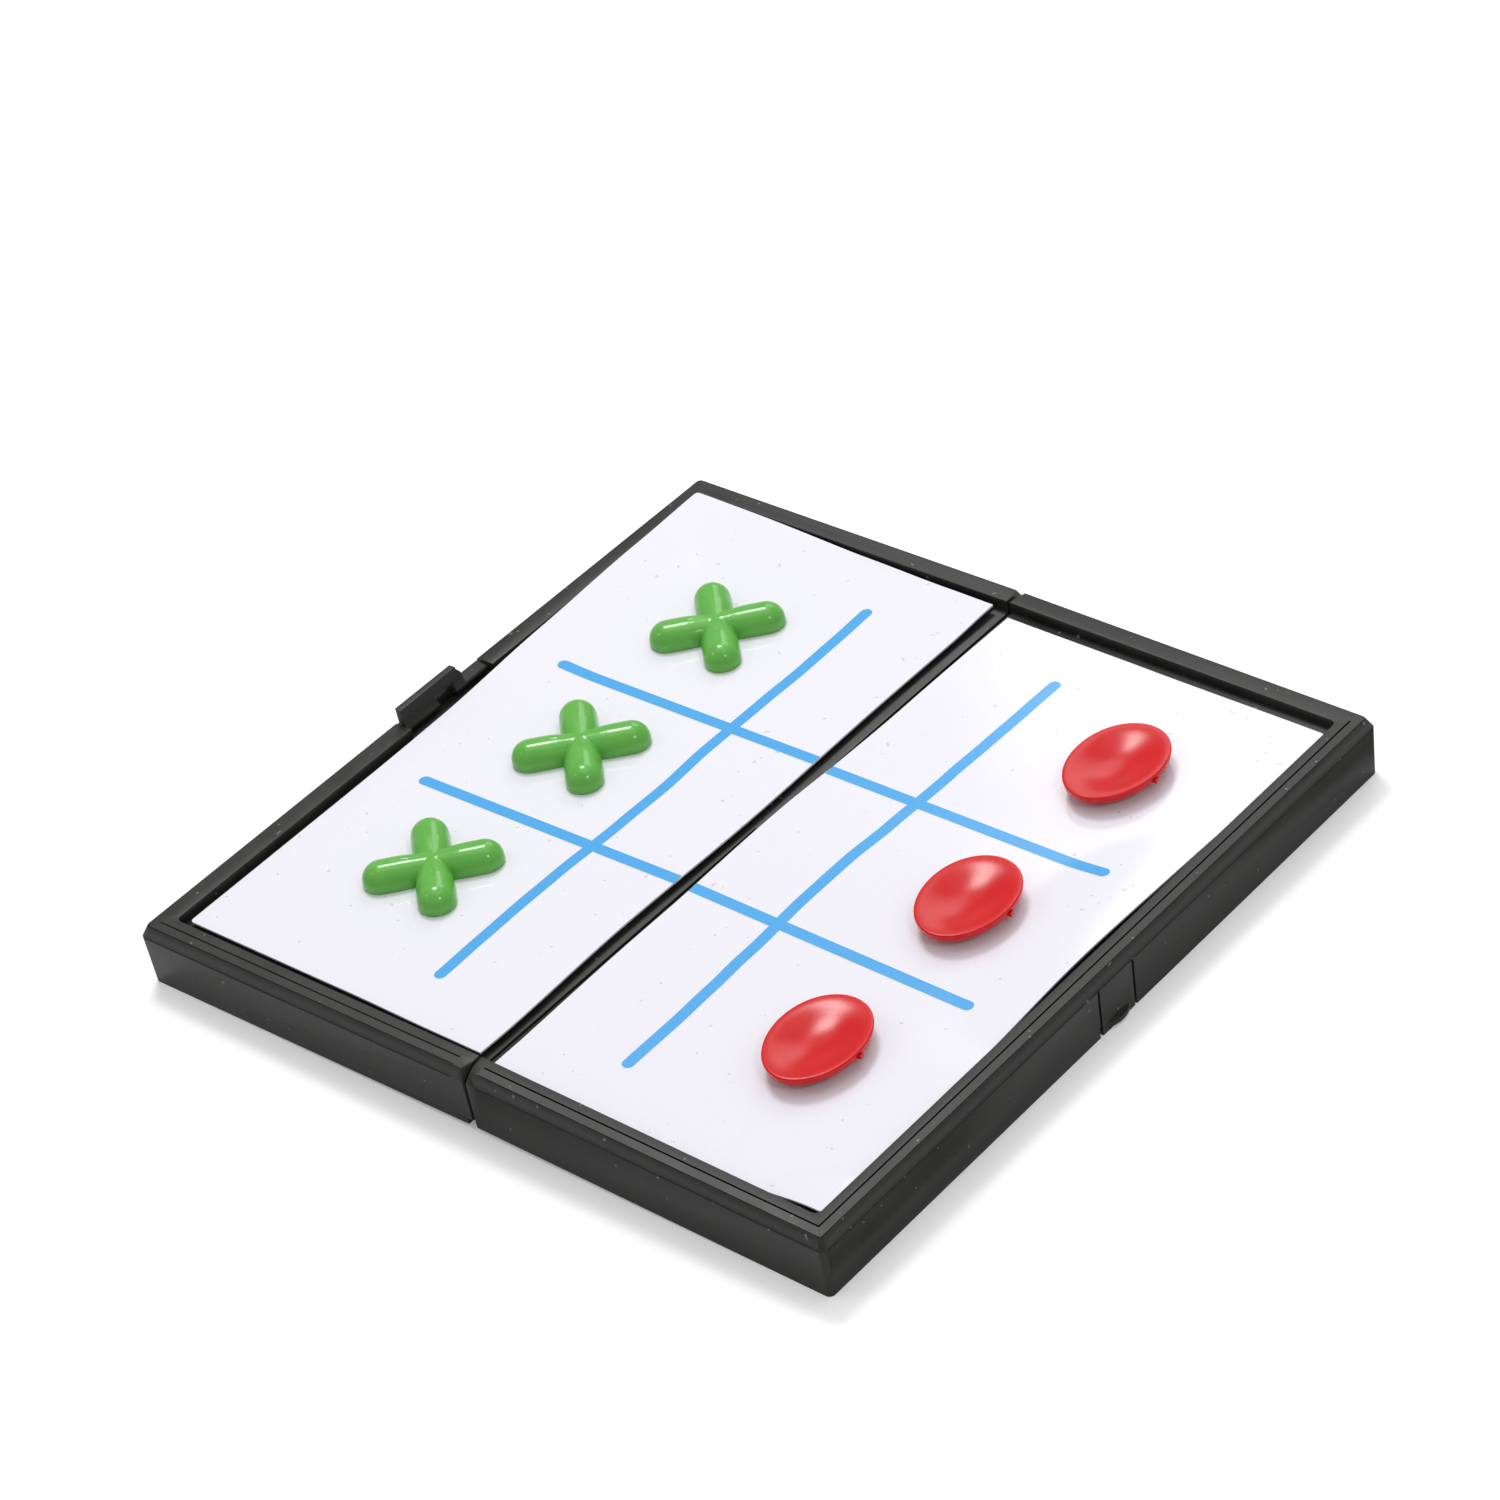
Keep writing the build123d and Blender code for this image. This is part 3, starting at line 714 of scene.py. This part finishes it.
def onBoard(side, spot, board):
    # from a piece's own frame to its place and turn on one of the sheets
    x, y, turn = spot
    place = Matrix.Translation(Vector((x, y, board)) * mm)
    return trayMatrix(side) @ place @ Matrix.Rotation(math.radians(turn), 4, "Z")


def makeCrosses():
    c = crossShape
    bar = crossBar()
    tree = crossTree()
    modifier = bar.modifiers.new("bars", "NODES")
    modifier.node_group = tree
    setInputs(modifier, tree, {"Bars": 2, "First Angle": pi / 4, "Material": finishes["cross_green"]})
    applied(bar)
    moulding(bar, c["voxel"], c["softening"])
    # the narrower foot below the parting line
    bm = bmesh.new()
    bm.from_mesh(bar.data)
    length, width = c["length"] - 2 * c["skirtInset"], c["width"] - 2 * c["skirtInset"]
    for angle in (pi / 4, 3 * pi / 4):
        foot = bmesh.new()
        ringSolid(foot, [stadium(length, width, z, c["capSteps"])
                         for z in (c["foot"], c["skirt"] - c["footBelow"])])
        bmesh.ops.rotate(foot, verts=foot.verts, cent=(0, 0, 0), matrix=Matrix.Rotation(angle, 3, "Z"))
        mesh = bpy.data.meshes.new("foot")
        foot.to_mesh(mesh)
        foot.free()
        bm.from_mesh(mesh)
    bm.to_mesh(bar.data)
    bm.free()
    smoothed(bar, c["sharpDegrees"])
    for name, spot in c["spots"].items():
        finishPiece(placedCopy(bar, f"cross.{name}", onBoard(-1, spot, c["board"])), f"cross_{name}")
    bpy.data.objects.remove(bar)


makeCrosses()
print("crosses made")

# Noughts; the flank has how far in from the outline it is, and its height there
noughtShape = {
    "halfWidth": 7.1, "halfLength": 9.4, "egg": 0.04, "eggFade": 5, "rimTop": 3.55, "rimWidth": 0.5,
    "rimRound": 0.22, "rimSteps": 4, "dishDepth": 1.0, "dishPower": 1.3, "footRadius": 3.9, "foot": 0.54,
    "flank": [(3.2, 1.75), (1.3, 1.8), (0.6, 1.95), (0.15, 2.5)],
    "steps": 128, "bowlRings": 18, "sharpDegrees": 50, "board": 9.0,
    "spots": {"far": (40.35, 35.75, -2), "middle": (40.2, 0.3, 4), "near": (40.6, -34.55, 4)},
}
# the stub's broken end has two corners, given as shares of its length and width
stubShape = {"along": 0.3, "length": 1.0, "width": 0.9, "bottom": 2.3, "height": 0.65, "root": 0.3,
             "end": [(0.7, -0.4), (0.55, 0.45)]}


def oval(a, b, z, steps):
    # ellipse that is a little wider towards its far end
    points = []
    for k in range(steps):
        t = 2 * pi * k / steps
        x = a * cos(t) * (1 + noughtShape["egg"] * sin(t) * min(1.0, a / noughtShape["eggFade"]))
        points.append(Vector((x, b * sin(t), z)) * mm)
    return points


def stub(bm):
    # what is left of the runner that the moulding was broken from
    s = stubShape
    x = noughtShape["halfWidth"] - s["root"]
    corners = [(x - s["root"], s["along"] - s["width"] / 2)]
    corners += [(x + s["length"] * u, s["along"] + s["width"] * v) for u, v in s["end"]]
    corners.append((x - s["root"], s["along"] + s["width"] / 2))
    ringSolid(bm, [[Vector((px, py, z)) * mm for px, py in corners]
                   for z in (s["bottom"], s["bottom"] + s["height"])])


def makeNoughts():
    n = noughtShape
    a, b, top, r = n["halfWidth"], n["halfLength"], n["rimTop"], n["rimRound"]
    foot, inner = n["footRadius"], n["rimWidth"]
    levels = [(foot, foot, z) for z in (n["foot"], n["flank"][0][1])]
    levels += [(a - inset, b - inset, z) for inset, z in n["flank"][1:]]
    for k in range(n["rimSteps"] + 1):   # rounded rim
        t = pi / 2 * k / n["rimSteps"]
        levels.append((a - r + r * cos(t), b - r + r * cos(t), top - r + r * sin(t)))
    for k in range(n["bowlRings"]):   # concave top
        share = 1 - k / n["bowlRings"]
        depth = n["dishDepth"] * (0.5 + 0.5 * cos(pi * share ** n["dishPower"]))
        levels.append(((a - inner) * share, (b - inner) * share, top - depth))
    bm = bmesh.new()
    ringSolid(bm, [oval(*level, n["steps"]) for level in levels])
    stub(bm)
    body = newObject("noughtBody", bm)
    smoothed(body, n["sharpDegrees"])
    for name, spot in n["spots"].items():
        finishPiece(placedCopy(body, f"nought.{name}", onBoard(1, spot, n["board"])), f"nought_{name}")
    bpy.data.objects.remove(body)


makeNoughts()
print("noughts made")

# Disc magnets in the undersides of the pieces
magnetShape = {"cross": {"radius": 2.5, "low": 0.5, "high": 1.8},
               "nought": {"radius": 3.2, "low": 0.5, "high": 1.5},
               "edge": 0.12, "steps": 64, "sharpDegrees": 30}


def circle(radius, z, steps):
    turns = [2 * pi * k / steps for k in range(steps)]
    return [Vector((radius * cos(t), radius * sin(t), z)) * mm for t in turns]


def makeMagnets():
    for kind, shape, side in (("cross", crossShape, -1), ("nought", noughtShape, 1)):
        m, e = magnetShape[kind], magnetShape["edge"]
        levels = ((m["radius"] - e, m["low"]), (m["radius"], m["low"] + e), (m["radius"], m["high"]))
        for name, spot in shape["spots"].items():
            bm = bmesh.new()
            ringSolid(bm, [circle(radius, z, magnetShape["steps"]) for radius, z in levels])
            piece = newObject(f"{kind}Magnet.{name}", bm)
            smoothed(piece, magnetShape["sharpDegrees"])
            piece.data.transform(onBoard(side, spot, shape["board"]))
            finishPiece(piece, f"{kind}_magnet_{name}")


makeMagnets()
print("magnets made")

# Camera, floor and light
shot = {"target": (-16.893, 18.096, 5.0), "distance": 771.397, "azimuth": 46.372, "elevation": 37.114,
        "roll": -10.749, "focalPixels": 5073.259, "imageWidth": 1500, "sensor": 36.0, "clip": (0.01, 20)}
studio = {
    "fill": 0.5, "floorGlow": 0.21, "paper": "#F2F2F2", "paperRoughness": 0.9, "paperHalfSize": 6.0,
    "lamps": {   # place, aim, size in metres, watts
        "keySoftbox": ((-0.39, 0.3, 0.88), (0, 0, 0), (0.24, 0.24), 3.6),
        "overheadSoftbox": ((-0.05, 0.2, 0.95), (0, 0, 0), (0.8, 0.8), 2.0),
        "backSoftbox": ((-0.33, 0.8, 0.66), (0.03, 0.03, 0), (0.5, 0.4), 1.5),
        "leftLamp": ((-0.55, -0.55, 0.75), (0, 0, 0), (0.12, 0.12), 0.4),
        "rightLamp": ((0.75, -0.2, 0.8), (0, 0, 0), (0.12, 0.12), 1.1),
    },
}


def makeCamera():
    a, e, r = (math.radians(shot[k]) for k in ("azimuth", "elevation", "roll"))
    back = Vector((sin(a) * cos(e), -cos(a) * cos(e), sin(e)))
    right = Vector((cos(a), sin(a), 0))
    up = back.cross(right)
    xAxis = right * cos(r) + up * sin(r)
    yAxis = -right * sin(r) + up * cos(r)
    data = bpy.data.cameras.new("camera")
    camera = bpy.data.objects.new("camera", data)
    bpy.context.scene.collection.objects.link(camera)
    m = Matrix((xAxis, yAxis, back)).transposed().to_4x4()
    camera.matrix_world = Matrix.Translation((Vector(shot["target"]) + back * shot["distance"]) * mm) @ m
    data.sensor_width, data.sensor_fit = shot["sensor"], "HORIZONTAL"
    data.lens = shot["focalPixels"] / shot["imageWidth"] * shot["sensor"]
    data.clip_start, data.clip_end = shot["clip"]
    bpy.context.scene.camera = camera


def makeFloor():
    # white paper sweep; it is seen a little lighter than it is lit, so only the shadow shows
    bm = bmesh.new()
    size = studio["paperHalfSize"]
    bm.faces.new([bm.verts.new((x * size, y * size, 0)) for x, y in ((-1, -1), (1, -1), (1, 1), (-1, 1))])
    floor = newObject("paperSweep", bm)
    material = bpy.data.materials.new("whiteBackgroundPaper")
    material.use_nodes = True
    tree = material.node_tree
    shader = tree.nodes["Principled BSDF"]
    shader.inputs["Base Color"].default_value = linear(studio["paper"])
    shader.inputs["Roughness"].default_value = studio["paperRoughness"]
    shader.inputs["Specular IOR Level"].default_value = 0.0
    glow = addNode(tree, "ShaderNodeEmission", Color=linear("#FFFFFF"), Strength=studio["floorGlow"])
    lift = addNode(tree, "ShaderNodeAddShader", i0=shader.outputs[0], i1=glow.outputs[0])
    path = addNode(tree, "ShaderNodeLightPath")
    mix = addNode(tree, "ShaderNodeMixShader", Fac=path.outputs["Is Camera Ray"], i1=shader.outputs[0],
                  i2=lift.outputs[0])
    tree.links.new(mix.outputs[0], tree.nodes["Material Output"].inputs["Surface"])
    floor.data.materials.append(material)


def softbox(name, place, aim, size, power):
    data = bpy.data.lights.new(name, "AREA")
    data.shape, data.size, data.size_y = "RECTANGLE", size[0], size[1]
    data.energy = power
    lamp = bpy.data.objects.new(name, data)
    lamp.location = place
    lamp.rotation_mode = "QUATERNION"
    lamp.rotation_quaternion = (Vector(aim) - Vector(place)).to_track_quat("-Z", "Y")
    bpy.context.scene.collection.objects.link(lamp)


def makeLight():
    world = bpy.data.worlds.new("studio")
    bpy.context.scene.world = world
    world.use_nodes = True
    tree = world.node_tree
    back = tree.nodes["Background"]
    back.inputs["Color"].default_value = linear("#FFFFFF")
    back.inputs["Strength"].default_value = studio["fill"]
    white = addNode(tree, "ShaderNodeBackground", Color=linear("#FFFFFF"), Strength=1.0)
    path = addNode(tree, "ShaderNodeLightPath")
    mix = addNode(tree, "ShaderNodeMixShader", Fac=path.outputs["Is Camera Ray"], i1=back.outputs[0],
                  i2=white.outputs[0])
    tree.links.new(mix.outputs[0], tree.nodes["World Output"].inputs["Surface"])
    for name, (place, aim, size, power) in studio["lamps"].items():
        softbox(name, place, aim, size, power)


makeCamera()
makeFloor()
makeLight()
bpy.context.scene.view_settings.view_transform = "Standard"
print("camera, floor and light set")
